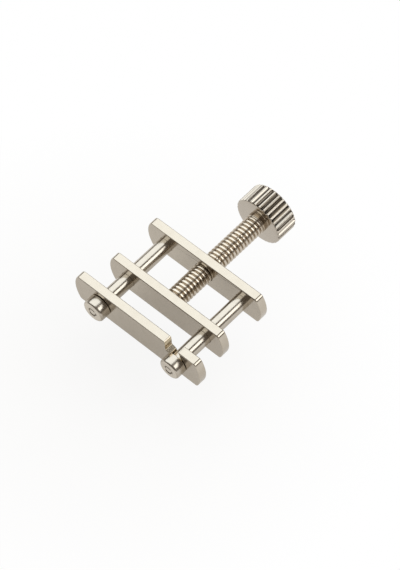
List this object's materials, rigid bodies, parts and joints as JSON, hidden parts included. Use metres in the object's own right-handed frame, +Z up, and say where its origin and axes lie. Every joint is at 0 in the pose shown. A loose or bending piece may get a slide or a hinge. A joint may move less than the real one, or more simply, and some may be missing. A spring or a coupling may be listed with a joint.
{
  "type": "tubing pinch clamp",
  "caption": "Nickel-plated screw clamp for soft tubing: a knurled thumbscrew drives a sliding jaw along two headed rods towards a hinged, notched front jaw.",
  "frame": {"origin": "middle of the sliding jaw's clamping face, on the screw's axis", "axes": "+X along the bars from the pivot rod to the catch rod, +Y along the rods and screw towards the knob, +Z up out of the bars' top edges"},
  "size_m": [0.0475, 0.0599, 0.016],
  "materials": {
    "nickel_bar": "satin nickel plate, warm grey",
    "nickel_rod": "polished nickel plate, drawn along the rod",
    "nickel_screw": "nickel plate, rolled thread",
    "nickel_knob": "polished nickel plate, straight ridges"
  },
  "bodies": {
    "frame": {"back_bar": "nickel_bar", "catch_rod": "nickel_rod"},
    "pivot": {"pivot_rod": "nickel_rod"},
    "front_jaw": {"front_jaw": "nickel_bar"},
    "sliding_jaw": {"sliding_jaw": "nickel_bar"},
    "thumbscrew": {"screw": "nickel_screw", "knob": "nickel_knob"}
  },
  "joints": [
    {"name": "jaw_slide", "type": "slide", "parent": "frame", "child": "sliding_jaw", "axis": [0, 1, 0], "range_m": [-0.00798, 0.01267]},
    {"name": "screw_turn", "type": "hinge", "parent": "sliding_jaw", "child": "thumbscrew", "pos_m": [0, 0.03804, 0], "axis": [0, 1, 0], "range_deg": [-2263, 3592]},
    {"name": "front_swing", "type": "hinge", "parent": "frame", "child": "pivot", "pos_m": [-0.0145, 0, 0], "axis": [0, 1, 0], "range_deg": [0, 18]},
    {"name": "front_shift", "type": "slide", "parent": "pivot", "child": "front_jaw", "axis": [0.9063, 0, 0.4226], "range_m": [0, 0.00208]}
  ],
  "couplings": [
    {"joint": "screw_turn", "follows": "jaw_slide", "rad_per_m": 4947.4},
    {"joint": "front_shift", "follows": "front_swing", "m_per_rad": 0.006589}
  ]
}
